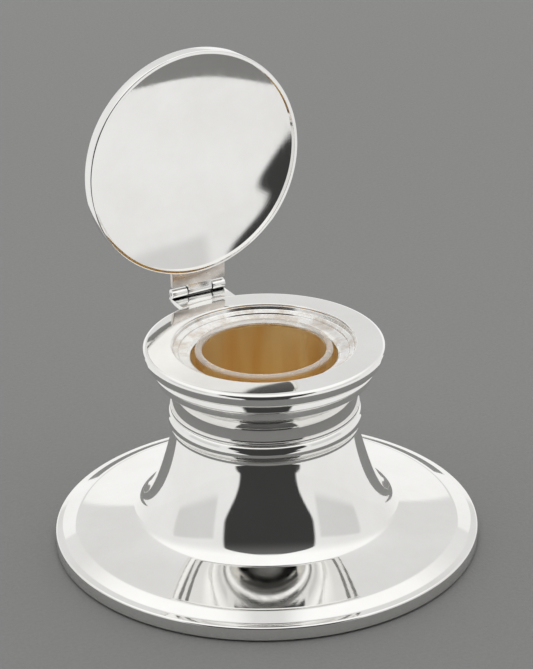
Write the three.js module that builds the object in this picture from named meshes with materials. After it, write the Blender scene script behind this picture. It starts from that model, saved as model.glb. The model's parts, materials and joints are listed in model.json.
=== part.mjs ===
// A capstan inkwell: a weighted, spun silver body on a wide round foot, with a glass ink pot in
// a gilt well and a round lid on a small hinge. Millimetres, +Z up. The origin is the centre of
// the felt's lower face, where the inkwell stands. The hinge is on the +Y side, and the lid
// stands open, a quarter turn back from closed.

import * as THREE from "three";

// ---- Driving dimensions ----

const LATHE_STEPS = 40;          // facets round a turned piece
const ROUND_STEPS = 20;          // facets round a hinge knuckle
const SHEET = 0.8;               // thickness of the spun silver

const FOOT_RADIUS = 63.5;
const FELT_THICKNESS = 1.0;
const BOARD_THICKNESS = 3.2;
const BAND = { width: 7.2, bottom: 0.6, top: 6.8, ledgeWidth: 2.2, ledge: 4.9, round: 0.6 };

const NECK_RADIUS = 27.4;
const THROAT_TOP = 38.5;         // where the trumpet body meets the neck collar
const TRUMPET_TOP = 37.0;        // where the body stops being straight and starts to flare
const BEND = { radius: 39.6, height: 10.5 };  // where the flare turns from the neck to the foot
const SWEEP = { width: 4.1, bottom: 44.6, height: 9.0 };

const RIM = { radius: 35.6, top: 63.6, bottom: 59.2, bore: 27.0, rollWidth: 1.5, rollHeight: 1.2 };
const LIP_RADIUS = 21.5;         // the inner edge of the seat, over the well
const LIP_BOTTOM = 58.6;
const WELL = { outer: 22.4, wall: 0.7, floor: 24.1 };
const LINER = { outer: 20.3, inner: 18.2, bottom: 24.2, height: 38, floor: 3 };

const LID = { radius: 35.0, height: 3.9, wall: 1.2, rise: 5.5 };
const LID_GAP = 0.2;             // between the closed lid and the rim
const DISH = { edge: 1.6, rise: 4.5, thickness: 0.6, power: 2.4 };

const HINGE = { y: 40.9, halfWidth: 9, knuckle: 1.5, bore: 0.9, pin: 0.6, plate: 1.5, gap: 0.3 };
const HINGE_Z = RIM.top + HINGE.knuckle + 0.1;
const LID_KNUCKLE = { from: -3.7, to: 4.4 };

const QUARTER = Math.PI / 2;

// ---- Materials ----

function metal(color, roughness) {
  return new THREE.MeshStandardMaterial({ color, roughness, metalness: 1 });
}

const silver = () => metal(0xdddcd8, 0.12);
const tarnished = () => metal(0xb9ada4, 0.28);
const gilt = () => metal(0xc8934a, 0.25);
const steel = () => metal(0x9a9a98, 0.35);
const glass = () => new THREE.MeshStandardMaterial({
  color: 0xe4ebe7,
  roughness: 0.05,
  metalness: 0,
  transparent: true,
  opacity: 0.35,
});
const plaster = () => new THREE.MeshStandardMaterial({ color: 0xd9d2c3, roughness: 0.9, metalness: 0 });
const wood = () => new THREE.MeshStandardMaterial({ color: 0x7a4f2c, roughness: 0.7, metalness: 0 });
const felt = () => new THREE.MeshStandardMaterial({ color: 0x1f3327, roughness: 1, metalness: 0 });

// ---- Outlines: radius to the right, height upwards, listed anticlockwise ----

const point = (radius, height) => new THREE.Vector2(radius, height);

// Points on a part of an ellipse, from one angle to another in degrees.
function arc(centre, radiusR, radiusZ, from, to, steps) {
  return Array.from({ length: steps + 1 }, (_, i) => {
    const angle = THREE.MathUtils.degToRad(from + ((to - from) * i) / steps);
    return point(centre.x + radiusR * Math.cos(angle), centre.y + radiusZ * Math.sin(angle));
  });
}

// A shallow dome's surface, from its edge to the axis. A higher power keeps its middle flatter.
function domeLine(edgeRadius, edgeHeight, rise, power) {
  const steps = 8;
  return Array.from({ length: steps + 1 }, (_, i) => {
    const radius = edgeRadius * (1 - i / steps);
    return point(radius, edgeHeight + rise * (1 - (radius / edgeRadius) ** power));
  });
}

const bandInner = FOOT_RADIUS - BAND.width;
const boardTop = FELT_THICKNESS + BOARD_THICKNESS;

// The trumpet's flare: a low cone from the foot's edge to the bend, then steeply up to the neck.
const bend = point(BEND.radius, BEND.height);
const flare = new THREE.CurvePath();
flare.add(new THREE.CubicBezierCurve(
  point(bandInner, BAND.top),
  point(bandInner - 6.3, BAND.top + 1.0),
  point(bend.x + 4.6, bend.y - 1.4),
  bend,
));
flare.add(new THREE.CubicBezierCurve(
  bend,
  point(bend.x - 4.0, bend.y + 1.3),
  point(NECK_RADIUS + 3.0, 22.5),
  point(NECK_RADIUS, TRUMPET_TOP),
));

function flareLine(inset, steps = 12) {
  return Array.from({ length: steps + 1 }, (_, i) => {
    const tangent = flare.getTangent(i / steps);
    const place = flare.getPoint(i / steps);
    return point(place.x + inset * tangent.y * -1, place.y + inset * tangent.x);
  });
}

// The flare's inner face, ending square against the foot band and straight up the neck.
function innerFlare() {
  const line = flareLine(SHEET);
  line[0] = point(bandInner, BAND.top - SHEET);
  line[line.length - 1] = point(NECK_RADIUS - SHEET, TRUMPET_TOP);
  return line;
}

// ---- Solids ----

// Turns a closed outline, or one that starts and ends on the axis, round Z.
function turned(name, material, outline) {
  const closed = outline[0].x > 0 ? [...outline, outline[0].clone()] : outline;
  const geometry = new THREE.LatheGeometry(closed, LATHE_STEPS);
  geometry.rotateX(QUARTER);
  const mesh = new THREE.Mesh(geometry, material);
  mesh.name = name;
  return mesh;
}

function feltPad() {
  const radius = bandInner - HINGE.gap;
  return turned("felt_pad", felt(), [
    point(0, 0),
    point(radius, 0),
    point(radius, FELT_THICKNESS),
    point(0, FELT_THICKNESS),
  ]);
}

function baseBoard() {
  return turned("base_board", wood(), [
    point(0, FELT_THICKNESS),
    point(bandInner, FELT_THICKNESS),
    point(bandInner, boardTop),
    point(0, boardTop),
  ]);
}

// The foot's edge: a bevel down to a narrow ledge, which turns over into a short upright wall.
function footBand() {
  const ledgeEnd = point(FOOT_RADIUS - BAND.round, BAND.ledge - 0.3);
  const corner = point(ledgeEnd.x, ledgeEnd.y - BAND.round);
  return turned("foot_band", silver(), [
    point(bandInner, BAND.bottom),
    point(FOOT_RADIUS, BAND.bottom),
    ...arc(corner, BAND.round, BAND.round, 0, 90, 3),
    point(FOOT_RADIUS - BAND.ledgeWidth, BAND.ledge),
    point(bandInner + 0.7, BAND.top - 0.15),
    point(bandInner, BAND.top),
  ]);
}

function bodyShell() {
  return turned("body_shell", silver(), [
    ...flareLine(0),
    point(NECK_RADIUS, THROAT_TOP),
    point(NECK_RADIUS - SHEET, THROAT_TOP),
    ...innerFlare().reverse(),
  ]);
}

// Plaster that gives the inkwell its weight. It fills the body round and under the well.
function loadingFill() {
  const fillTop = THROAT_TOP + 5;
  return turned("loading_fill", plaster(), [
    point(0, boardTop),
    point(bandInner, boardTop),
    ...innerFlare(),
    point(NECK_RADIUS - SHEET, fillTop),
    point(WELL.outer, fillTop),
    point(WELL.outer, WELL.floor - WELL.wall),
    point(0, WELL.floor - WELL.wall),
  ]);
}

// A half-round wire over the joint of body and neck, with a fine fillet under and over it.
function neckBead() {
  const middle = point(NECK_RADIUS + 0.2, THROAT_TOP + 2.4);
  return turned("neck_bead", silver(), [
    point(NECK_RADIUS, THROAT_TOP - 1.3),
    point(NECK_RADIUS + 0.7, THROAT_TOP - 1.3),
    point(NECK_RADIUS + 0.7, THROAT_TOP - 0.2),
    ...arc(middle, 1.3, 2.5, -90, 90, 8),
    point(NECK_RADIUS + 0.6, THROAT_TOP + 5.1),
    point(NECK_RADIUS + 0.6, THROAT_TOP + 6.1),
    point(NECK_RADIUS, THROAT_TOP + 6.1),
  ]);
}

// The waisted collar: a straight neck, a hollow sweeping out, then two small steps under the rim.
function neckCollar() {
  const sweep = point(NECK_RADIUS + SWEEP.width, SWEEP.bottom);
  const sweepTop = SWEEP.bottom + SWEEP.height;
  const waist = sweep.x + 0.4;
  const stepRadius = RIM.radius - 2.6;
  return turned("neck_collar", silver(), [
    point(NECK_RADIUS, THROAT_TOP),
    ...arc(sweep, -SWEEP.width, SWEEP.height, 0, 90, 6),
    point(waist, sweepTop + 0.3),
    point(waist, sweepTop + 2.3),
    point(stepRadius, sweepTop + 3.1),
    point(stepRadius, RIM.bottom),
    point(stepRadius - SHEET, RIM.bottom),
    point(stepRadius - SHEET, sweepTop + 3.3),
    point(waist - SHEET, sweepTop + 2.3),
    ...arc(sweep, -SWEEP.width - SHEET, SWEEP.height + 0.4, 85, 0, 6),
    point(NECK_RADIUS - SHEET, THROAT_TOP),
  ]);
}

// The rim: a flat ring on top, turned down into a band that tapers in, and turned in below.
function rimPlate() {
  const roll = point(RIM.radius - RIM.rollWidth, RIM.top - RIM.rollHeight);
  const floorInner = RIM.radius - 4.2;
  return turned("rim_plate", silver(), [
    point(floorInner, RIM.bottom),
    point(RIM.radius - 1.0, RIM.bottom),
    point(RIM.radius - 0.5, RIM.bottom + 0.5),
    ...arc(roll, RIM.rollWidth, RIM.rollHeight, 0, 90, 4),
    point(RIM.bore + 0.4, RIM.top),
    point(RIM.bore, RIM.top - 0.4),
    point(RIM.bore, RIM.top - 1),
    point(RIM.radius - 1.4, RIM.top - 1),
    point(RIM.radius - 1.7, RIM.bottom + 1),
    point(floorInner, RIM.bottom + 1),
  ]);
}

// The seat: a cove down from the rim, a sloping ledge, and a lip over the mouth of the well.
function seatRing() {
  return turned("seat_ring", silver(), [
    point(LIP_RADIUS, LIP_BOTTOM),
    point(WELL.outer, LIP_BOTTOM),
    point(WELL.outer + 0.3, LIP_BOTTOM + 0.5),
    point(25.2, 60.6),
    point(26.3, 61.4),
    point(RIM.bore, 62.3),
    point(RIM.bore, RIM.top - 0.5),
    point(26.5, 62.5),
    point(26.0, 61.9),
    point(25.0, 61.5),
    point(LIP_RADIUS + 0.6, 60.0),
    point(LIP_RADIUS, 59.5),
  ]);
}

function giltWell() {
  const inner = WELL.outer - WELL.wall;
  return turned("gilt_well", gilt(), [
    point(0, WELL.floor - WELL.wall),
    point(WELL.outer, WELL.floor - WELL.wall),
    point(WELL.outer, LIP_BOTTOM),
    point(inner, LIP_BOTTOM),
    point(inner, WELL.floor),
    point(0, WELL.floor),
  ]);
}

// The glass ink pot, with rounded corners at its foot and a polished, rounded mouth.
function glassLiner() {
  const wall = LINER.outer - LINER.inner;
  const mouth = point(LINER.inner + wall / 2, LINER.bottom + LINER.height - wall / 2);
  const corner = point(LINER.outer - 2, LINER.bottom + 2);
  const floor = LINER.bottom + LINER.floor;
  return turned("glass_liner", glass(), [
    point(0, LINER.bottom),
    ...arc(corner, 2, 2, -90, 0, 3),
    ...arc(mouth, wall / 2, wall / 2, 0, 180, 6),
    ...arc(point(LINER.inner - 2, floor + 2), 2, 2, 0, -90, 3),
    point(0, floor),
  ]);
}

// ---- Lid, each piece in its closed place over the rim plane ----

function lidRimWire() {
  const inner = LID.radius - LID.wall;
  return turned("lid_rim_wire", silver(), [
    point(inner, 0),
    ...arc(point(LID.radius - 0.5, 0.5), 0.5, 0.5, -90, 0, 3),
    ...arc(point(LID.radius - 0.5, LID.height - 0.5), 0.5, 0.5, 0, 90, 3),
    point(inner, LID.height),
  ]);
}

function lidLining() {
  const edge = LID.radius - LID.wall;
  return turned("lid_lining", silver(), [
    ...domeLine(edge, DISH.edge, DISH.rise, DISH.power).reverse(),
    ...domeLine(edge, DISH.edge + DISH.thickness, DISH.rise, DISH.power),
  ]);
}

function lidDome() {
  const edge = LID.radius - 0.6;
  return turned("lid_dome", silver(), [
    ...domeLine(edge - SHEET, LID.height, LID.rise - SHEET, 2).reverse(),
    ...domeLine(edge, LID.height, LID.rise, 2),
  ]);
}

// ---- Hinge ----

// A hinge plate's outline: straight at the knuckles, and hollowed to fit round a rim.
function plateGeometry(rimRadius, outerY) {
  const halfAngle = Math.asin(HINGE.halfWidth / rimRadius);
  const outline = new THREE.Shape();
  outline.absarc(0, 0, rimRadius, QUARTER + halfAngle, QUARTER - halfAngle, true);
  outline.lineTo(HINGE.halfWidth, outerY);
  outline.lineTo(-HINGE.halfWidth, outerY);
  outline.closePath();
  return new THREE.ExtrudeGeometry(outline, {
    depth: HINGE.plate,
    bevelEnabled: false,
    curveSegments: 8,
  });
}

function hingePlate(name, material, rimRadius, outerY) {
  const mesh = new THREE.Mesh(plateGeometry(rimRadius, outerY), material);
  mesh.name = name;
  return mesh;
}

// A length of round tube or rod along X, with a flat facet underneath.
function alongHinge(name, material, outer, bore, from, to) {
  const facet = Math.PI / ROUND_STEPS;
  const ring = (radius) => Array.from({ length: ROUND_STEPS }, (_, i) => {
    const angle = 2 * facet * i + facet;
    return point(radius * Math.cos(angle), radius * Math.sin(angle));
  });
  const section = new THREE.Shape(ring(outer));
  if (bore > 0) section.holes.push(new THREE.Path(ring(bore)));
  const geometry = new THREE.ExtrudeGeometry(section, { depth: to - from, bevelEnabled: false });
  geometry.rotateX(QUARTER);
  geometry.rotateZ(QUARTER);
  geometry.translate(from, 0, 0);
  const mesh = new THREE.Mesh(geometry, material);
  mesh.name = name;
  return mesh;
}

function knuckle(name, from, to) {
  return alongHinge(name, silver(), HINGE.knuckle, HINGE.bore, from, to);
}

// ---- Assembly ----

function fixedHinge() {
  const leaf = hingePlate("body_hinge_plate", silver(), RIM.radius + HINGE.gap, HINGE.y + HINGE.knuckle);
  leaf.position.z = RIM.top - HINGE.plate;
  const axis = new THREE.Group();
  axis.position.set(0, HINGE.y, HINGE_Z);
  axis.add(
    knuckle("body_knuckle_left", -HINGE.halfWidth, LID_KNUCKLE.from - HINGE.gap),
    knuckle("body_knuckle_right", LID_KNUCKLE.to + HINGE.gap, HINGE.halfWidth),
    alongHinge("hinge_pin", steel(), HINGE.pin, 0, -HINGE.halfWidth, HINGE.halfWidth),
  );
  return [leaf, axis];
}

function openLid() {
  const cover = new THREE.Group();
  cover.position.set(0, -HINGE.y, RIM.top + LID_GAP - HINGE_Z);
  const leafEnd = HINGE.y - HINGE.knuckle - HINGE.gap;
  const leaf = hingePlate("lid_hinge_plate", tarnished(), LID.radius + HINGE.gap, leafEnd);
  leaf.position.z = LID_GAP;
  cover.add(lidRimWire(), lidLining(), lidDome(), leaf);

  const lid = new THREE.Group();
  lid.position.set(0, HINGE.y, HINGE_Z);
  lid.rotation.x = -QUARTER;
  lid.add(cover, knuckle("lid_knuckle", LID_KNUCKLE.from, LID_KNUCKLE.to));
  return lid;
}

const inkwell = new THREE.Group();
inkwell.add(
  feltPad(),
  baseBoard(),
  loadingFill(),
  footBand(),
  bodyShell(),
  neckBead(),
  neckCollar(),
  rimPlate(),
  seatRing(),
  giltWell(),
  glassLiner(),
  ...fixedHinge(),
  openLid(),
);

export default inkwell;
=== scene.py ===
"""A silver capstan inkwell with its lid open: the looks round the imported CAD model."""

import json
import math
from functools import partial

import bmesh
import bpy
from mathutils import Matrix, Vector


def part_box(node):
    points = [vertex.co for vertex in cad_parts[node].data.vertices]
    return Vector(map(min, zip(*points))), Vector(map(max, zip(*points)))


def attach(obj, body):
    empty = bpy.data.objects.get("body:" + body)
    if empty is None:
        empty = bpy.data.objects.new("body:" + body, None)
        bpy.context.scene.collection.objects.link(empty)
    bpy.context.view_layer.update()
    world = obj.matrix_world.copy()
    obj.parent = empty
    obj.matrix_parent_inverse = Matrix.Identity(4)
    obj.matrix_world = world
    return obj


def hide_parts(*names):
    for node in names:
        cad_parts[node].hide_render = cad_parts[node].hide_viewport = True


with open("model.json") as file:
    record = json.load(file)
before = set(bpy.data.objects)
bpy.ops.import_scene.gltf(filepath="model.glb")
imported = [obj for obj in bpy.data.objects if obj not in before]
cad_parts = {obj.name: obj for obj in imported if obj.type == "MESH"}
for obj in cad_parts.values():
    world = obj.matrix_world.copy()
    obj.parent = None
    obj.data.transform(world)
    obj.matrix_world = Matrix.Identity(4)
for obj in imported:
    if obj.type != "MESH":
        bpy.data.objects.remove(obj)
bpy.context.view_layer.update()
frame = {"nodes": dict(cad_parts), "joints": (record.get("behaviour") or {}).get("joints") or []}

MM = 0.001
TURN = 2 * math.pi

# ---- Sizes read from the frame, in millimetres: radius, bottom and top of each turned piece ----


def span(node):
    """A piece that is turned round Z: its outer radius, its bottom and its top."""
    low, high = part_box(node)
    return high.x / MM, low.z / MM, high.z / MM


FOOT_R, FOOT_LOW, FOOT_TOP = span("foot_band")
SHELL_R, _, THROAT_TOP = span("body_shell")
BEAD_R, BEAD_LOW, BEAD_TOP = span("neck_bead")
COLLAR_R, _, COLLAR_TOP = span("neck_collar")
RIM_R, RIM_LOW, RIM_TOP = span("rim_plate")
SEAT_R, LIP_LOW, _ = span("seat_ring")
WELL_R, WELL_LOW, WELL_TOP = span("gilt_well")
POT_R, POT_LOW, POT_TOP = span("glass_liner")
FELT_R, _, FELT_TOP = span("felt_pad")

NECK_R = BEAD_R - 1.5            # the straight part of the neck
FLARE_TOP = THROAT_TOP - 1.5     # where the body's flare meets the neck
SHEET = 0.8                      # thickness of the silver
DISH_POWER = 2.4                 # the lid's dish, flatter in the middle than a parabola

HINGE = Vector(frame["joints"][0]["pos_m"]) / MM
PLATE_LOW, PLATE_HIGH = (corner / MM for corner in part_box("body_hinge_plate"))
LID_PLATE_LOW, LID_PLATE_HIGH = (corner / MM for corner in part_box("lid_hinge_plate"))
LID_LOW, LID_HIGH = (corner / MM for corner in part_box("lid_rim_wire"))
DISH_LOW, DISH_HIGH = (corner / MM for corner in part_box("lid_lining"))
DOME_LOW, DOME_HIGH = (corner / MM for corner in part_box("lid_dome"))

LID_R = LID_HIGH.x               # the open lid faces -Y, so its height runs along Y
LID_HEIGHT = LID_HIGH.y - LID_LOW.y
LID_CENTRE = Vector((0, LID_LOW.y, (LID_LOW.z + LID_HIGH.z) / 2))
LID_PLACE = Matrix.Translation(LID_CENTRE * MM) @ Matrix.Rotation(-math.pi / 2, 4, "X")

# ---- Camera ----

CAMERA_AZIMUTH = -29.3
CAMERA_ELEVATION = 24.95
CAMERA_DISTANCE = 0.790
CAMERA_ROLL = -0.89
AIM_HEIGHT = 0.0659
AIM_RIGHT = 0.0008
FOCAL_LENGTH = 145.7


def around(azimuth, radius, height):
    """A point round the inkwell. Azimuth 0 is the camera's side, and 90 is to the camera's right."""
    angle = math.radians(CAMERA_AZIMUTH + azimuth)
    return Vector((radius * math.sin(angle), -radius * math.cos(angle), height))


def add_camera():
    data = bpy.data.cameras.new("camera")
    data.sensor_fit = "VERTICAL"
    data.sensor_height = 36
    data.lens = FOCAL_LENGTH
    camera = bpy.data.objects.new("camera", data)
    bpy.context.scene.collection.objects.link(camera)
    elevation = math.radians(CAMERA_ELEVATION)
    reach = CAMERA_DISTANCE * math.cos(elevation)
    right = around(90, 1, 0)
    aim = right * AIM_RIGHT + Vector((0, 0, AIM_HEIGHT))
    place = aim + around(0, reach, CAMERA_DISTANCE * math.sin(elevation))
    look = (aim - place).normalized()
    turn = look.to_track_quat("-Z", "Y").to_matrix().to_4x4()
    roll = Matrix.Rotation(math.radians(CAMERA_ROLL), 4, "Z")
    camera.matrix_world = Matrix.Translation(place) @ turn @ roll
    bpy.context.scene.camera = camera


# ---- Outlines: (radius, height) in millimetres ----


def arc(centre, radius_r, radius_z, start, end, steps=16):
    """Points on a part of an ellipse, from one angle to another in degrees."""
    points = []
    for i in range(steps + 1):
        angle = math.radians(start + (end - start) * i / steps)
        points.append((centre[0] + radius_r * math.cos(angle), centre[1] + radius_z * math.sin(angle)))
    return points


def rounded(corners, steps=5):
    """A closed outline with its corners (radius, height, fillet) rounded off; a fillet of 0 is sharp."""
    points = []
    for i, (r, z, fillet) in enumerate(corners):
        here = Vector((r, z))
        if fillet == 0:
            points.append((r, z))
            continue
        before = Vector(corners[i - 1][:2])
        after = Vector(corners[(i + 1) % len(corners)][:2])
        start = here + (before - here).normalized() * fillet
        end = here + (after - here).normalized() * fillet
        for k in range(steps + 1):
            t = k / steps
            spot = start * (1 - t) ** 2 + here * 2 * t * (1 - t) + end * t ** 2
            points.append((spot.x, spot.y))
    return points


def sharp(points):
    """Points of a smooth curve, as corners that need no fillet."""
    return [(r, z, 0) for r, z in points]


def bezier(p0, p1, p2, p3, steps):
    """Points on a cubic curve."""
    points = []
    for i in range(steps + 1):
        t = i / steps
        weights = ((1 - t) ** 3, 3 * t * (1 - t) ** 2, 3 * t * t * (1 - t), t ** 3)
        r = sum(w * p[0] for w, p in zip(weights, (p0, p1, p2, p3)))
        z = sum(w * p[1] for w, p in zip(weights, (p0, p1, p2, p3)))
        points.append((r, z))
    return points


def dome_line(edge_r, edge_z, rise, power=2.0, steps=64):
    """A shallow dome, from its edge to the axis; a higher power keeps its middle flatter."""
    radii = [edge_r * (1 - i / steps) for i in range(steps + 1)]
    return [(r, edge_z + rise * (1 - (r / edge_r) ** power)) for r in radii]


# ---- Meshes ----

SHARP_EDGE = 35                  # an edge that turns further than this, in degrees, looks sharp


def finished(name, mesh, body, replaced, material, place=Matrix.Identity(4)):
    """Makes a piece from a mesh, gives it its looks and joins it to the frame."""
    piece = bpy.data.objects.new(name, mesh)
    bpy.context.scene.collection.objects.link(piece)
    piece.matrix_world = place
    mesh.materials.append(material)
    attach(piece, body)
    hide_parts(*replaced)
    return piece


def smooth(mesh, angle):
    """Shades the mesh smooth, with edges over that angle in degrees kept sharp."""
    mesh.shade_smooth()
    mesh.set_sharp_from_angle(angle=math.radians(angle))


def turned_mesh(name, outline, steps=256):
    """Turns an outline round Z: a closed one, or one that starts and ends on the axis."""
    closed = outline[0][0] > 0
    bm = bmesh.new()
    rings = []
    for r, z in outline:
        if r < 1e-6:
            rings.append([bm.verts.new((0, 0, z * MM))])
            continue
        ring = []
        for k in range(steps):
            angle = TURN * k / steps
            ring.append(bm.verts.new((r * MM * math.cos(angle), r * MM * math.sin(angle), z * MM)))
        rings.append(ring)
    pairs = list(zip(rings, rings[1:]))
    if closed:
        pairs.append((rings[-1], rings[0]))
    for low, high in pairs:
        for k in range(steps):
            m = (k + 1) % steps
            corners = [low[k % len(low)], low[m % len(low)], high[m % len(high)], high[k % len(high)]]
            unique = list(dict.fromkeys(corners))
            if len(unique) > 2:
                bm.faces.new(unique)
    bmesh.ops.recalc_face_normals(bm, faces=bm.faces)
    mesh = bpy.data.meshes.new(name)
    bm.to_mesh(mesh)
    bm.free()
    smooth(mesh, SHARP_EDGE)
    return mesh


def turned(name, outline, body, replaced, material, place=Matrix.Identity(4)):
    return finished(name, turned_mesh(name, outline), body, replaced, material, place)


# ---- Shader helpers ----


class Shader:
    """A material under construction, with short calls for the nodes that it uses."""

    def __init__(self, name):
        self.material = bpy.data.materials.new(name)
        self.material.use_nodes = True
        self.tree = self.material.node_tree
        self.surface = self.tree.nodes["Principled BSDF"]

    def node(self, kind, inputs=(), **settings):
        made = self.tree.nodes.new(kind)
        for key, value in settings.items():
            setattr(made, key, value)
        for key, value in dict(inputs).items():
            self.feed(made.inputs[key], value)
        return made

    def feed(self, socket, value):
        if isinstance(value, bpy.types.NodeSocket):
            self.tree.links.new(value, socket)
        else:
            socket.default_value = value

    def set(self, **values):
        for key, value in values.items():
            self.feed(self.surface.inputs[key.replace("_", " ")], value)

    def place(self):
        return self.node("ShaderNodeTexCoord").outputs["Object"]

    def math(self, operation, a, b=0.0):
        return self.node("ShaderNodeMath", {0: a, 1: b}, operation=operation).outputs[0]

    def noise(self, vector, scale, detail=3.0, roughness=0.5):
        inputs = {"Vector": vector, "Scale": scale, "Detail": detail, "Roughness": roughness}
        return self.node("ShaderNodeTexNoise", inputs).outputs["Fac"]

    def stretch(self, vector, scale):
        inputs = {"Vector": vector, "Scale": scale}
        return self.node("ShaderNodeMapping", inputs).outputs["Vector"]

    def between(self, factor, low, high, out_low=0.0, out_high=1.0):
        inputs = {"Value": factor, "From Min": low, "From Max": high}
        inputs.update({"To Min": out_low, "To Max": out_high})
        return self.node("ShaderNodeMapRange", inputs).outputs["Result"]

    def mix(self, factor, a, b):
        """A colour between two. The node's colour sockets share their names with number sockets,
        so they are picked by place."""
        made = self.node("ShaderNodeMix", data_type="RGBA")
        self.feed(made.inputs["Factor"], factor)
        self.feed(made.inputs[6], a)
        self.feed(made.inputs[7], b)
        return made.outputs[2]

    def polar(self):
        """Where a point is round the piece's axis: its turn, its radius and its height, in metres."""
        parts = self.node("ShaderNodeSeparateXYZ", {0: self.place()}).outputs
        turn = self.math("ARCTAN2", parts["Y"], parts["X"])
        squares = [self.math("POWER", parts[axis], 2.0) for axis in "XY"]
        return turn, self.math("SQRT", self.math("ADD", *squares)), parts["Z"]

    def vector(self, x, y, z):
        return self.node("ShaderNodeCombineXYZ", {0: x, 1: y, 2: z}).outputs[0]

    def lathe_noise(self, along, across, detail=3.0, roughness=0.5):
        """Noise for marks that run round the piece: how fine they are along and across their run."""
        turn, radius, height = self.polar()
        spot = self.vector(self.math("MULTIPLY", turn, along), self.math("MULTIPLY", radius, across),
                           self.math("MULTIPLY", height, across))
        return self.noise(spot, 1.0, detail, roughness)

    def open_air(self):
        """A mask for painted shade, from ambient occlusion: 0 in gaps that are narrower than CREVICE,
        and 1 on open faces.
        """
        inputs = {"Distance": CREVICE}
        occlusion = self.node("ShaderNodeAmbientOcclusion", inputs, samples=12).outputs["AO"]
        return self.between(occlusion, 0.25, 0.7)

    def bump(self, height, distance, normal=None):
        inputs = {"Height": height, "Distance": distance, "Strength": 1.0}
        if normal is not None:
            inputs["Normal"] = normal
        return self.node("ShaderNodeBump", inputs).outputs["Normal"]


# ---- Materials ----

SILVER = (0.93, 0.925, 0.905, 1)
DULL_SILVER = (0.87, 0.86, 0.835, 1)
CREVICE = 0.9 * MM               # gaps narrower than this get painted shade
# the colour of the painted shade in narrow gaps
PAINTED_GAP_SHADE = (0.03, 0.025, 0.02, 1)


def polished_silver(name, smooth_roughness=0.03, worn_roughness=0.08, ring_depth=0.4e-6):
    """Hand-polished silver: soft smudges, fine wiping marks, and marks from turning it on a lathe."""
    s = Shader(name)
    place = s.place()
    film = s.between(s.noise(place, 45.0, 4.0, 0.6), 0.35, 0.75)
    s.set(Metallic=1.0, Base_Color=s.mix(film, SILVER, DULL_SILVER))
    streak = s.noise(s.stretch(place, (900.0, 140.0, 500.0)), 1.0, 2.0)
    wear = s.math("MULTIPLY", film, s.between(streak, 0.3, 0.7))
    s.set(Roughness=s.between(wear, 0.0, 0.8, smooth_roughness, worn_roughness))
    rings = s.lathe_noise(2.0, 2600.0, 2.0)
    strokes = s.lathe_noise(60.0, 40.0)
    s.set(Normal=s.bump(strokes, 2.0e-6, s.bump(rings, ring_depth)))
    return s.material


def hinge_silver():
    """The hinge's silver, bright on its open faces and darkened by painted shade in its narrow gaps."""
    s = Shader("hinge_silver")
    # painted shade: ambient occlusion darkens the base colour in the gaps
    s.set(Metallic=1.0, Base_Color=s.mix(s.open_air(), PAINTED_GAP_SHADE, SILVER))
    grain = s.noise(s.stretch(s.place(), (250.0, 2200.0, 2200.0)), 1.0, 3.0)
    s.set(Roughness=s.between(grain, 0.3, 0.7, 0.10, 0.24))
    s.set(Normal=s.bump(grain, 1.5e-6))
    return s.material


def worn_silver():
    """The seat's ledge, scratched and browned by ink and by lifting the pot in and out."""
    s = Shader("worn_silver")
    scratches = s.lathe_noise(5.0, 4200.0, 4.0, 0.7)
    stain = s.between(s.noise(s.place(), 160.0, 5.0, 0.65), 0.45, 0.75)
    s.set(Metallic=1.0, Base_Color=s.mix(stain, SILVER, (0.62, 0.53, 0.44, 1)))
    s.set(Roughness=s.between(scratches, 0.3, 0.8, 0.10, 0.34))
    s.set(Normal=s.bump(scratches, 2.0e-6))
    return s.material


def tarnished_silver():
    """The lid's hinge plate, with the thin warm tarnish of a piece that a cloth doesn't reach, and
    painted shade in its narrow gaps.
    """
    s = Shader("tarnished_silver")
    cloud = s.between(s.noise(s.place(), 260.0, 4.0, 0.6), 0.3, 0.7)
    metal = s.mix(cloud, (0.78, 0.74, 0.70, 1), (0.64, 0.59, 0.54, 1))
    # painted shade: ambient occlusion darkens the tarnished colour in the gaps
    s.set(Metallic=1.0, Base_Color=s.mix(s.open_air(), PAINTED_GAP_SHADE, metal))
    s.set(Roughness=s.between(cloud, 0.0, 1.0, 0.22, 0.38))
    grain = s.noise(s.stretch(s.place(), (300.0, 2500.0, 2500.0)), 1.0, 2.0)
    s.set(Normal=s.bump(grain, 1.5e-6))
    return s.material


def gilt():
    """The gilded well: turning lines round it, and soft upright bands of paler and deeper gold."""
    s = Shader("gilt")
    turn, _, height = s.polar()
    band = s.vector(s.math("MULTIPLY", turn, 3.0), 0.0, s.math("MULTIPLY", height, 25.0))
    deep = s.between(s.noise(band, 1.0, 1.0), 0.34, 0.64)
    s.set(Metallic=1.0, Base_Color=s.mix(deep, (1.0, 0.88, 0.60, 1), (0.90, 0.66, 0.32, 1)))
    lines = s.lathe_noise(3.0, 1800.0, 3.0, 0.6)
    strokes = s.lathe_noise(30.0, 60.0)
    s.set(Roughness=s.between(strokes, 0.3, 0.7, 0.40, 0.56))
    s.set(Normal=s.bump(strokes, 1.5e-6, s.bump(lines, 3.0e-6)))
    return s.material


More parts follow.
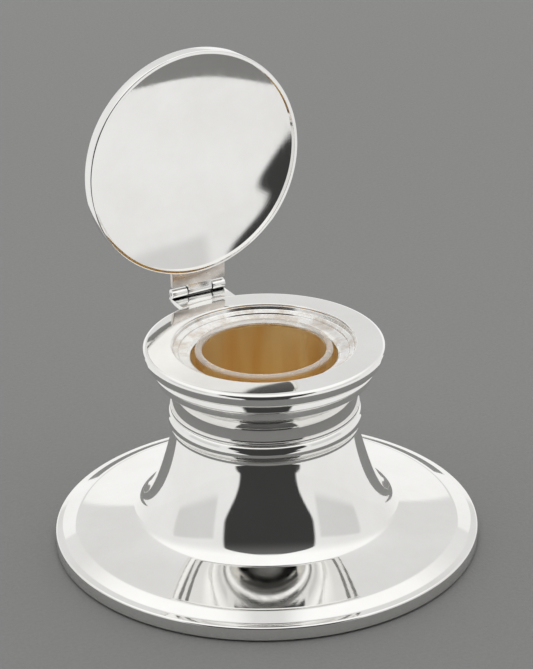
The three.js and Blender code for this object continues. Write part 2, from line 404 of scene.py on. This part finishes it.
def clear_glass():
    """The pot's glass: clear, whiter where it is seen edge-on, with a ground mouth and scuffs."""
    s = Shader("clear_glass")
    scuff = s.between(s.noise(s.stretch(s.place(), (300.0, 300.0, 900.0)), 1.0, 4.0, 0.6), 0.55, 0.8)
    height = s.polar()[2]
    ground = s.between(height, (POT_TOP - 1.5) * MM, (POT_TOP - 0.5) * MM)
    edge = s.node("ShaderNodeLayerWeight", {"Blend": 0.35}).outputs["Facing"]
    s.set(Base_Color=(0.93, 0.95, 0.94, 1), IOR=1.45)
    s.set(Transmission_Weight=s.between(ground, 0.0, 1.0, 1.0, 0.3))
    mouth_roughness = s.between(ground, 0.0, 1.0, 0.0, 0.25)
    s.set(Roughness=s.math("ADD", mouth_roughness, s.between(scuff, 0.0, 1.0, 0.01, 0.10)))
    mouth_alpha = s.between(ground, 0.0, 1.0, 0.0, 0.6)
    s.set(Alpha=s.math("ADD", mouth_alpha, s.between(edge, 0.3, 1.0, 0.06, 0.35)))
    s.set(Normal=s.bump(s.noise(s.place(), 120.0, 2.0), 4.0e-6))
    return s.material


def drawn_wire():
    """The hinge pin's steel, with its grain along the pin."""
    s = Shader("drawn_wire")
    grain = s.noise(s.stretch(s.place(), (200.0, 4000.0, 4000.0)), 1.0, 2.0)
    s.set(Metallic=1.0, Base_Color=s.mix(grain, (0.50, 0.49, 0.47, 1), (0.62, 0.61, 0.59, 1)))
    s.set(Roughness=s.between(grain, 0.3, 0.7, 0.25, 0.45))
    s.set(Normal=s.bump(grain, 2.0e-6))
    return s.material


def baize():
    """Dark green felt: matted fibres, with a soft sheen."""
    s = Shader("baize")
    fibres = s.noise(s.place(), 2200.0, 6.0, 0.75)
    tuft = s.between(fibres, 0.3, 0.7)
    s.set(Base_Color=s.mix(tuft, (0.010, 0.028, 0.016, 1), (0.035, 0.075, 0.048, 1)))
    s.set(Roughness=s.between(fibres, 0.2, 0.8, 0.85, 1.0))
    s.set(Sheen_Weight=0.4)
    s.set(Normal=s.bump(fibres, 2.0e-4))
    return s.material


def board_wood():
    """The turned board that closes the foot: plain brown wood with its grain along X."""
    s = Shader("board_wood")
    grain = s.noise(s.stretch(s.place(), (30.0, 700.0, 700.0)), 1.0, 5.0, 0.6)
    s.set(Base_Color=s.mix(grain, (0.09, 0.045, 0.02, 1), (0.24, 0.13, 0.06, 1)))
    s.set(Roughness=s.between(grain, 0.2, 0.8, 0.5, 0.75))
    s.set(Normal=s.bump(grain, 4.0e-5))
    return s.material


def plaster():
    """The cast filling: chalky, with air bubbles."""
    s = Shader("plaster")
    bubbles = s.noise(s.place(), 500.0, 5.0, 0.7)
    s.set(Base_Color=s.mix(bubbles, (0.55, 0.50, 0.42, 1), (0.72, 0.68, 0.60, 1)))
    s.set(Roughness=s.between(bubbles, 0.2, 0.8, 0.8, 0.95))
    s.set(Normal=s.bump(bubbles, 1.0e-4))
    return s.material


# ---- Pieces of the body ----

BEND_R, BEND_Z = 39.6, 10.5      # where the flare turns from the low cone to the steep trumpet
LEDGE_WIDTH, LEDGE_Z = 2.2, 4.9  # the narrow ledge at the foot's edge
SWEEP_WIDTH, SWEEP_HEIGHT = 4.1, 9.0     # the collar's hollow
RIM_ROLL_WIDTH, RIM_ROLL_HEIGHT = 1.5, 1.2
WELL_WALL = 0.7
POT_WALL = 2.1
POT_FLOOR = 3.0
POT_CORNER = 2.0                 # radius of the pot's corners, inside and outside
DISH_SHEET = 0.6                 # thickness of the lid's lining


def flare_line():
    """The body's flare, from the foot's edge up to the neck: the same two curves as in the CAD."""
    bend = (BEND_R, BEND_Z)
    foot = (SHELL_R, FOOT_TOP)
    neck = (NECK_R, FLARE_TOP)
    shallow = bezier(foot, (SHELL_R - 6.3, FOOT_TOP + 1.0), (BEND_R + 4.6, BEND_Z - 1.4), bend, 56)
    steep = bezier(bend, (BEND_R - 4.0, BEND_Z + 1.3), (NECK_R + 3.0, 22.5), neck, 72)
    return shallow + steep[1:]


def inset_line(points, depth):
    """The same curve, moved inwards and down by a sheet's thickness."""
    moved = []
    for i, (r, z) in enumerate(points):
        before = points[max(i - 1, 0)]
        after = points[min(i + 1, len(points) - 1)]
        along = Vector((after[0] - before[0], after[1] - before[1])).normalized()
        moved.append((r - depth * along.y, z + depth * along.x))
    return moved


def add_body(silver):
    """The spun trumpet: the flare, a straight neck above it, and the same inside."""
    outer = flare_line()
    inner = inset_line(outer, SHEET)
    outline = outer + [(NECK_R, THROAT_TOP), (NECK_R - SHEET, THROAT_TOP)] + inner[::-1]
    turned("body", outline, "base", ["body_shell"], silver)


def add_foot_band(silver):
    """The foot's edge: a bevel down to a narrow ledge, which turns over into a short upright wall."""
    outline = rounded([
        (SHELL_R, FOOT_LOW, 0.2),
        (FOOT_R, FOOT_LOW, 0.25),
        (FOOT_R, LEDGE_Z - 0.3, 0.7),
        (FOOT_R - LEDGE_WIDTH, LEDGE_Z, 0.35),
        (SHELL_R + 0.8, FOOT_TOP, 0.7),
        (SHELL_R, FOOT_TOP, 0),
    ], 10)
    turned("foot_edge", outline, "base", ["foot_band"], silver)


def add_neck_bead(silver):
    """A half-round wire between two fine fillets."""
    middle = THROAT_TOP + 2.4
    outline = rounded([
        (NECK_R - 0.3, BEAD_LOW, 0),
        (NECK_R + 0.7, BEAD_LOW, 0.25),
        (NECK_R + 0.7, BEAD_LOW + 1.1, 0.2),
        *sharp(arc((NECK_R + 0.2, middle), 1.3, 2.5, -88, 84, 32)),
        (NECK_R + 0.25, BEAD_TOP - 0.95, 0.05),
        (NECK_R + 0.6, BEAD_TOP - 0.9, 0.15),
        (NECK_R + 0.6, BEAD_TOP, 0.25),
        (NECK_R - 0.3, BEAD_TOP, 0),
    ])
    turned("bead", outline, "base", ["neck_bead"], silver)


def add_collar(silver):
    """A hollow sweeping out from the neck, a short waist and a step under the rim."""
    sweep = (NECK_R + SWEEP_WIDTH, BEAD_TOP)
    top = BEAD_TOP + SWEEP_HEIGHT
    waist = sweep[0] + 0.4
    outline = rounded([
        (NECK_R, THROAT_TOP, 0),
        *sharp(arc(sweep, -SWEEP_WIDTH, SWEEP_HEIGHT, 0, 86, 48)),
        (waist, top + 0.3, 0.15),
        (waist, top + 2.3, 0.35),
        (COLLAR_R, top + 3.0, 0.25),
        (COLLAR_R, RIM_LOW + 0.2, 0),
        (COLLAR_R - SHEET, RIM_LOW + 0.2, 0),
        (COLLAR_R - SHEET, top + 3.3, 0),
        (waist - SHEET, top + 2.4, 0),
        *sharp(arc(sweep, -SWEEP_WIDTH - SHEET, SWEEP_HEIGHT + 0.4, 85, 0, 48)),
        (NECK_R - SHEET, THROAT_TOP, 0),
    ])
    turned("collar", outline, "base", ["neck_collar"], silver)


def add_rim(silver):
    """The flat ring, which rolls over its edge into a band with a short floor turned in under it."""
    floor_r = RIM_R - 4.2
    roll = (RIM_R - RIM_ROLL_WIDTH, RIM_TOP - RIM_ROLL_HEIGHT)
    outline = rounded([
        (floor_r, RIM_LOW, 0.1),
        (RIM_R - 1.0, RIM_LOW, 0.2),
        (RIM_R - 0.5, RIM_LOW + 0.5, 0.3),
        *sharp(arc(roll, RIM_ROLL_WIDTH, RIM_ROLL_HEIGHT, 0, 90)),
        (SEAT_R, RIM_TOP, 0.5),
        (SEAT_R, RIM_TOP - 1.0, 0.2),
        (RIM_R - 1.4, RIM_TOP - 1.0, 0),
        (RIM_R - 1.7, RIM_LOW + 1.0, 0),
        (floor_r, RIM_LOW + 1.0, 0.1),
    ])
    turned("rim", outline, "base", ["rim_plate"], silver)


def add_seat(material):
    """The seat: a steep cove under the rim, a ledge, a small step and a lip over the well."""
    lip_r = WELL_R - 0.9
    outline = rounded([
        (lip_r, LIP_LOW, 0.2),
        (WELL_R, LIP_LOW, 0.1),
        (WELL_R + 0.3, LIP_LOW + 0.5, 0),
        (SEAT_R - 1.8, LIP_LOW + 1.8, 0.3),
        (SEAT_R - 0.7, LIP_LOW + 2.6, 0.3),
        (SEAT_R + 0.2, LIP_LOW + 3.4, 0),
        (SEAT_R + 0.2, RIM_TOP - 0.6, 0),
        (SEAT_R - 0.2, RIM_TOP - 0.7, 0.1),
        (SEAT_R - 0.5, LIP_LOW + 3.2, 0.45),
        (SEAT_R - 1.8, LIP_LOW + 2.9, 0.2),
        (SEAT_R - 2.0, LIP_LOW + 2.3, 0.25),
        (lip_r + 0.9, LIP_LOW + 1.8, 0.35),
        (lip_r, LIP_LOW + 1.1, 0.45),
    ], 8)
    turned("seat", outline, "base", ["seat_ring"], material)


def add_well(material):
    """The gilt cup that the pot stands in."""
    inner = WELL_R - WELL_WALL
    floor = WELL_LOW + WELL_WALL
    outline = rounded([
        (0, WELL_LOW, 0),
        (WELL_R, WELL_LOW, 0.5),
        (WELL_R, WELL_TOP, 0),
        (inner, WELL_TOP, 0.1),
        (inner, floor, 0.6),
        (0, floor, 0),
    ])
    turned("well", outline, "base", ["gilt_well"], material)


def add_pot(material):
    """The glass pot, with a rounded mouth. It throws no shadow and stays out of reflections,
    because light that has to pass several walls of glass would leave the well dark."""
    half_wall = POT_WALL / 2
    floor = POT_LOW + POT_FLOOR
    outer_corner = (POT_R - POT_CORNER, POT_LOW + POT_CORNER)
    inner_corner = (POT_R - POT_WALL - POT_CORNER, floor + POT_CORNER)
    outline = [
        (0, POT_LOW),
        *arc(outer_corner, POT_CORNER, POT_CORNER, -90, 0),
        *arc((POT_R - half_wall, POT_TOP - half_wall), half_wall, half_wall, 0, 180, 24),
        *arc(inner_corner, POT_CORNER, POT_CORNER, 0, -90),
        (0, floor),
    ]
    pot = turned("ink_pot", outline, "liner", ["glass_liner"], material)
    pot.visible_diffuse = False
    pot.visible_glossy = False
    pot.visible_shadow = False


def add_felt(material):
    """The baize disc: a thin cloth, laid flat against the board."""
    outline = rounded([
        (0, 0.0, 0),
        (FELT_R, 0.0, 0.2),
        (FELT_R, FELT_TOP, 0.2),
        (0, FELT_TOP, 0),
    ])
    felt = turned("baize", outline, "base", ["felt_pad"], material)


# ---- Hinge ----

PLATE_CLEARANCE = 0.6            # between the lid's plate and the body's barrels
PLATE_BEVEL = 0.15
BARREL_BEVEL = 0.12
BARREL_PLAY = 0.15               # how much the lid's barrel is smaller than the body's
PIN_RADIUS = 0.6
PIN_STANDS_OUT = 0.15


def drawn_mesh(name, outline, along, bevel):
    """A flat outline of (x, y, z) points drawn out along a vector, with softened edges."""
    bm = bmesh.new()
    floor = bm.faces.new([bm.verts.new(Vector(point) * MM) for point in outline])
    grown = bmesh.ops.extrude_face_region(bm, geom=[floor])["geom"]
    moved = [v for v in grown if isinstance(v, bmesh.types.BMVert)]
    bmesh.ops.translate(bm, verts=moved, vec=Vector(along) * MM)
    bmesh.ops.recalc_face_normals(bm, faces=bm.faces)
    edges = [e for e in bm.edges if e.calc_face_angle(0) > math.radians(30)]
    bmesh.ops.bevel(bm, geom=edges, offset=bevel * MM, segments=3, profile=0.5, affect="EDGES")
    mesh = bpy.data.meshes.new(name)
    bm.to_mesh(mesh)
    bm.free()
    smooth(mesh, SHARP_EDGE)
    return mesh


def plate_mesh(name, rim_r, far_y, low_z, high_z, half_width):
    """A hinge plate seen from above: straight at the knuckles, hollowed to fit round a rim."""
    half_angle = math.degrees(math.asin(half_width / rim_r))
    hollow = arc((0, 0), rim_r, rim_r, 90 + half_angle, 90 - half_angle, 24)
    outline = hollow + [(half_width, far_y), (-half_width, far_y)]
    return drawn_mesh(name, [(x, y, low_z) for x, y in outline], (0, 0, high_z - low_z), PLATE_BEVEL)


def add_knuckle(node, body, material, outline):
    """A hinge barrel: a (y, z) outline round the pin, drawn out along X."""
    low, high = (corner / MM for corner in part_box(node))
    section = [(0, y, z) for y, z in outline]
    mesh = drawn_mesh(node + "_barrel", section, (high.x - low.x, 0, 0), BARREL_BEVEL)
    place = Matrix.Translation(Vector((low.x, HINGE.y, HINGE.z)) * MM)
    finished(node + "_barrel", mesh, body, [node], material, place)


def fixed_section(radius):
    """The body's barrels are plain rounds that lie on their plate."""
    return arc((0, 0), radius, radius, 0, 352.5, 47)


def moving_section(radius):
    """The lid's barrel is a round with a straight web up to its plate."""
    front = LID_PLATE_LOW.y - HINGE.y
    back = LID_PLATE_HIGH.y - HINGE.y
    top = LID_PLATE_LOW.z - HINGE.z + PLATE_CLEARANCE + 0.1
    start = math.degrees(math.acos(back / radius))
    end = math.degrees(math.acos(max(front / radius, -1)))
    return [*arc((0, 0), radius, radius, start, end - 360, 48), (front, top), (back, top)]


def add_hinge(silver, tarnished, wire):
    half = PLATE_HIGH.x
    low, high = PLATE_LOW.z, PLATE_HIGH.z
    fixed = plate_mesh("fixed_plate", RIM_R - 1.3, PLATE_HIGH.y, low, high + 0.05, half)
    finished("fixed_plate", fixed, "base", ["body_hinge_plate"], silver)

    thick = LID_PLATE_HIGH.y - LID_PLATE_LOW.y
    near = LID_PLATE_LOW.y - LID_LOW.y
    far = LID_CENTRE.z - LID_PLATE_LOW.z - PLATE_CLEARANCE
    moving = plate_mesh("moving_plate", LID_R - 0.2, far, near, near + thick, half)
    finished("moving_plate", moving, "lid", ["lid_hinge_plate"], tarnished, LID_PLACE)

    radius = PLATE_HIGH.y - HINGE.y
    add_knuckle("body_knuckle_left", "base", silver, fixed_section(radius))
    add_knuckle("body_knuckle_right", "base", silver, fixed_section(radius))
    add_knuckle("lid_knuckle", "lid", silver, moving_section(radius - BARREL_PLAY))

    low, high = (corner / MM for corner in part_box("hinge_pin"))
    length = high.x - low.x + 2 * PIN_STANDS_OUT
    mesh = turned_mesh("pin", rounded([
        (0, 0, 0),
        (PIN_RADIUS, 0, 0.15),
        (PIN_RADIUS, length, 0.15),
        (0, length, 0),
    ]), 48)
    mesh.transform(Matrix.Rotation(math.pi / 2, 4, "Y"))
    place = Matrix.Translation(Vector((low.x - PIN_STANDS_OUT, HINGE.y, HINGE.z)) * MM)
    finished("pin", mesh, "base", ["hinge_pin"], wire, place)


# ---- Lid: turned pieces in their closed place over the rim plane, then stood up ----


def add_lid(silver, dish_silver):
    inner = DISH_HIGH.x
    wire = rounded([
        (inner, 0, 0.15),
        (LID_R, 0, 0.45),
        (LID_R, LID_HEIGHT, 0.5),
        (inner - 0.4, LID_HEIGHT, 0),
        (inner - 0.4, LID_HEIGHT - 0.8, 0),
        (inner, LID_HEIGHT - 0.8, 0),
    ])
    turned("lid_band", wire, "lid", ["lid_rim_wire"], silver, LID_PLACE)

    dish_edge = DISH_LOW.y - LID_LOW.y
    rise = DISH_HIGH.y - DISH_LOW.y - DISH_SHEET
    under = dome_line(inner, dish_edge, rise, DISH_POWER)
    over = dome_line(inner, dish_edge + DISH_SHEET, rise, DISH_POWER)
    turned("lid_dish", under[::-1] + over, "lid", ["lid_lining"], dish_silver, LID_PLACE)

    edge = DOME_HIGH.x
    dome_rise = DOME_HIGH.y - DOME_LOW.y
    under = dome_line(edge - SHEET, LID_HEIGHT, dome_rise - SHEET)
    over = dome_line(edge, LID_HEIGHT, dome_rise)
    turned("lid_top", under[::-1] + over, "lid", ["lid_dome"], silver, LID_PLACE)


# ---- Studio ----


def floor_material():
    s = Shader("floor_paper")
    grain = s.noise(s.place(), 900.0, 3.0, 0.7)
    s.set(Base_Color=s.mix(grain, (0.23, 0.23, 0.225, 1), (0.29, 0.29, 0.285, 1)))
    s.set(Roughness=0.8)
    s.set(Normal=s.bump(grain, 1.5e-4))
    return s.material


def glow(name):
    """A surface that only gives light, as much as the mesh's own "light" values say."""
    material = bpy.data.materials.new(name)
    material.use_nodes = True
    tree = material.node_tree
    tree.nodes.clear()
    level = tree.nodes.new("ShaderNodeAttribute")
    level.attribute_name = "light"
    light = tree.nodes.new("ShaderNodeEmission")
    light.inputs["Color"].default_value = (1, 1, 1, 1)
    output = tree.nodes.new("ShaderNodeOutputMaterial")
    tree.links.new(level.outputs["Fac"], light.inputs["Strength"])
    tree.links.new(light.outputs[0], output.inputs["Surface"])
    return material


def staged(name, mesh, material, seen=False):
    mesh.materials.append(material)
    thing = bpy.data.objects.new(name, mesh)
    bpy.context.scene.collection.objects.link(thing)
    thing.visible_camera = seen
    return thing


TENT_RADIUS = 0.75               # the light tent: a white dome, open towards the camera
OPENING_TOP = 44                 # where the opening ends, in degrees above the floor
OPENING_LOW_WIDTH = 29           # half its width at the floor, in degrees
OPENING_WIDTH = 42               # half its width higher up
OPENING_EXTRA_RIGHT = 4.5        # how much further it reaches to the camera's right
EDGE_BLUR = 1.5
BACK_SEAM = 22                   # where the bright lower cloth behind the inkwell ends
DARK = 0.045                     # brightness of the room seen through the opening
CARD_LIGHT = 0.86                # brightness of the pale cards
CARD_NEAR = 0.117                # where the pale cards on the paper start
CARD_HEIGHT = 0.003


def ramp(value, low, high):
    """0 below the first value, 1 above the second, and smooth between them."""
    t = min(max((value - low) / (high - low), 0), 1)
    return t * t * (3 - 2 * t)


def blend(a, b, amount):
    return a + (b - a) * amount


def in_opening(azimuth, half_width):
    """1 inside the opening, 0 outside it."""
    edge = half_width + OPENING_EXTRA_RIGHT * ramp(azimuth, -1, 1)
    return 1 - ramp(abs(azimuth), edge - EDGE_BLUR, edge + EDGE_BLUR)


def opening_width(elevation):
    """Half the opening's width: narrower at the floor and rounded off at the top."""
    width = blend(OPENING_LOW_WIDTH, OPENING_WIDTH, ramp(elevation, 1, 16))
    return width * math.sqrt(1 - ramp(elevation, OPENING_TOP - 9, OPENING_TOP + 4))


def tent_light(elevation, azimuth):
    """The tent's brightness in one direction: brighter above, with a grey fold of cloth on each
    side, a bright cloth low down behind the inkwell, and the dark opening in front."""
    away = 180 - abs(azimuth)
    light = blend(0.84, 1.06, ramp(elevation, 30, 50))
    fold = ramp(abs(azimuth), 50, 54) * (1 - ramp(abs(azimuth), 92, 96))
    fold *= ramp(elevation, 3, 7) * (1 - ramp(elevation, 24, 28))
    light = blend(light, 0.68, fold)
    behind = blend(0.98, 0.76, ramp(elevation, BACK_SEAM, BACK_SEAM + 1.5))
    light = blend(light, behind, 1 - ramp(away, 20, 55))
    open_here = in_opening(azimuth, opening_width(elevation))
    open_here *= 1 - ramp(elevation, OPENING_TOP, OPENING_TOP + 4)
    room = DARK * (1 + 2 * ramp(elevation, 28, OPENING_TOP))
    return blend(light, room, open_here)


def card_light(radius, azimuth):
    """The same for the cards on the floor: the gap between them is widest half way out."""
    half_width = 38 - 22 * (CARD_NEAR / radius) ** 1.5
    half_width = blend(half_width, OPENING_LOW_WIDTH, ramp(radius, 0.35, TENT_RADIUS))
    return blend(CARD_LIGHT, DARK, in_opening(azimuth, half_width))


def glowing(name, azimuths, rows):
    """A surface round the inkwell that shines by itself, brighter in some places than in others.
    A row holds a radius, a height, and the function that gives its brightness at an azimuth."""
    points = []
    levels = []
    for radius, height, light in rows:
        points += [tuple(around(azimuth, radius, height)) for azimuth in azimuths]
        levels += [light(azimuth) for azimuth in azimuths]
    across = len(azimuths)
    faces = []
    for k in range(len(rows) - 1):
        for i in range(across - 1):
            corner = k * across + i
            faces.append((corner, corner + 1, corner + across + 1, corner + across))
    mesh = bpy.data.meshes.new(name)
    mesh.from_pydata(points, [], faces)
    light = mesh.attributes.new("light", "FLOAT", "POINT")
    light.data.foreach_set("value", levels)
    return staged(name, mesh, glow(name))


def spread(start, end, steps):
    """Evenly spaced values, with both ends."""
    return [start + (end - start) * i / steps for i in range(steps + 1)]


def add_tent():
    rows = []
    for elevation in spread(0, 90, 180):
        angle = math.radians(elevation)
        light = partial(tent_light, elevation)
        rows.append((TENT_RADIUS * math.cos(angle), TENT_RADIUS * math.sin(angle), light))
    glowing("tent", spread(-180, 180, 360), rows)


def add_cards():
    """Pale cards on the paper, in front and at the sides, that only the silver sees."""
    rows = []
    for share in spread(0, 1, 40):
        radius = CARD_NEAR * (TENT_RADIUS / CARD_NEAR) ** share
        rows.append((radius, CARD_HEIGHT, partial(card_light, radius)))
    cards = glowing("cards", spread(-135, 135, 270), rows)
    cards.visible_diffuse = False
    cards.visible_shadow = False


def disc_mesh(name, radius, centre):
    bm = bmesh.new()
    bmesh.ops.create_circle(bm, cap_ends=True, radius=radius, segments=64)
    bmesh.ops.translate(bm, verts=bm.verts, vec=centre)
    mesh = bpy.data.meshes.new(name)
    bm.to_mesh(mesh)
    bm.free()
    return mesh


def area_light(name, azimuth, radius, height, size, power):
    data = bpy.data.lights.new(name, "AREA")
    data.shape = "DISK"
    data.size = size
    data.energy = power
    light = bpy.data.objects.new(name, data)
    bpy.context.scene.collection.objects.link(light)
    light.location = around(azimuth, radius, height)
    to_inkwell = Vector((0, 0, 0.05)) - light.location
    light.rotation_euler = to_inkwell.to_track_quat("-Z", "Y").to_euler()
    light.visible_camera = False
    light.visible_glossy = False


def add_studio():
    scene = bpy.context.scene
    scene.view_settings.view_transform = "Standard"
    world = bpy.data.worlds.new("studio")
    world.use_nodes = True
    background = world.node_tree.nodes["Background"]
    background.inputs["Color"].default_value = (1, 1, 1, 1)
    background.inputs["Strength"].default_value = 0.10
    scene.world = world

    staged("floor", disc_mesh("floor", 4.0, (0, 0, 0)), floor_material(), seen=True)
    add_tent()
    add_cards()
    area_light("key", -60, 0.9, 1.0, 0.8, 6)
    area_light("fill", 70, 0.9, 0.9, 0.8, 3)


# ---- The whole inkwell ----


def add_inkwell():
    """Every piece that is seen. The board and the filling are the CAD's own, with new materials."""
    silver = polished_silver("polished_silver")
    dish_silver = polished_silver("dish_silver", 0.04, 0.10, 1.2e-6)
    add_body(silver)
    add_foot_band(silver)
    add_neck_bead(silver)
    add_collar(silver)
    add_rim(silver)
    add_seat(worn_silver())
    add_well(gilt())
    add_pot(clear_glass())
    add_felt(baize())
    add_hinge(hinge_silver(), tarnished_silver(), drawn_wire())
    add_lid(silver, dish_silver)
    for node, material in (("base_board", board_wood()), ("loading_fill", plaster())):
        frame["nodes"][node].data.materials.clear()
        frame["nodes"][node].data.materials.append(material)


add_camera()
add_inkwell()
add_studio()


def corners(box):
    return [list(corner) for corner in box]
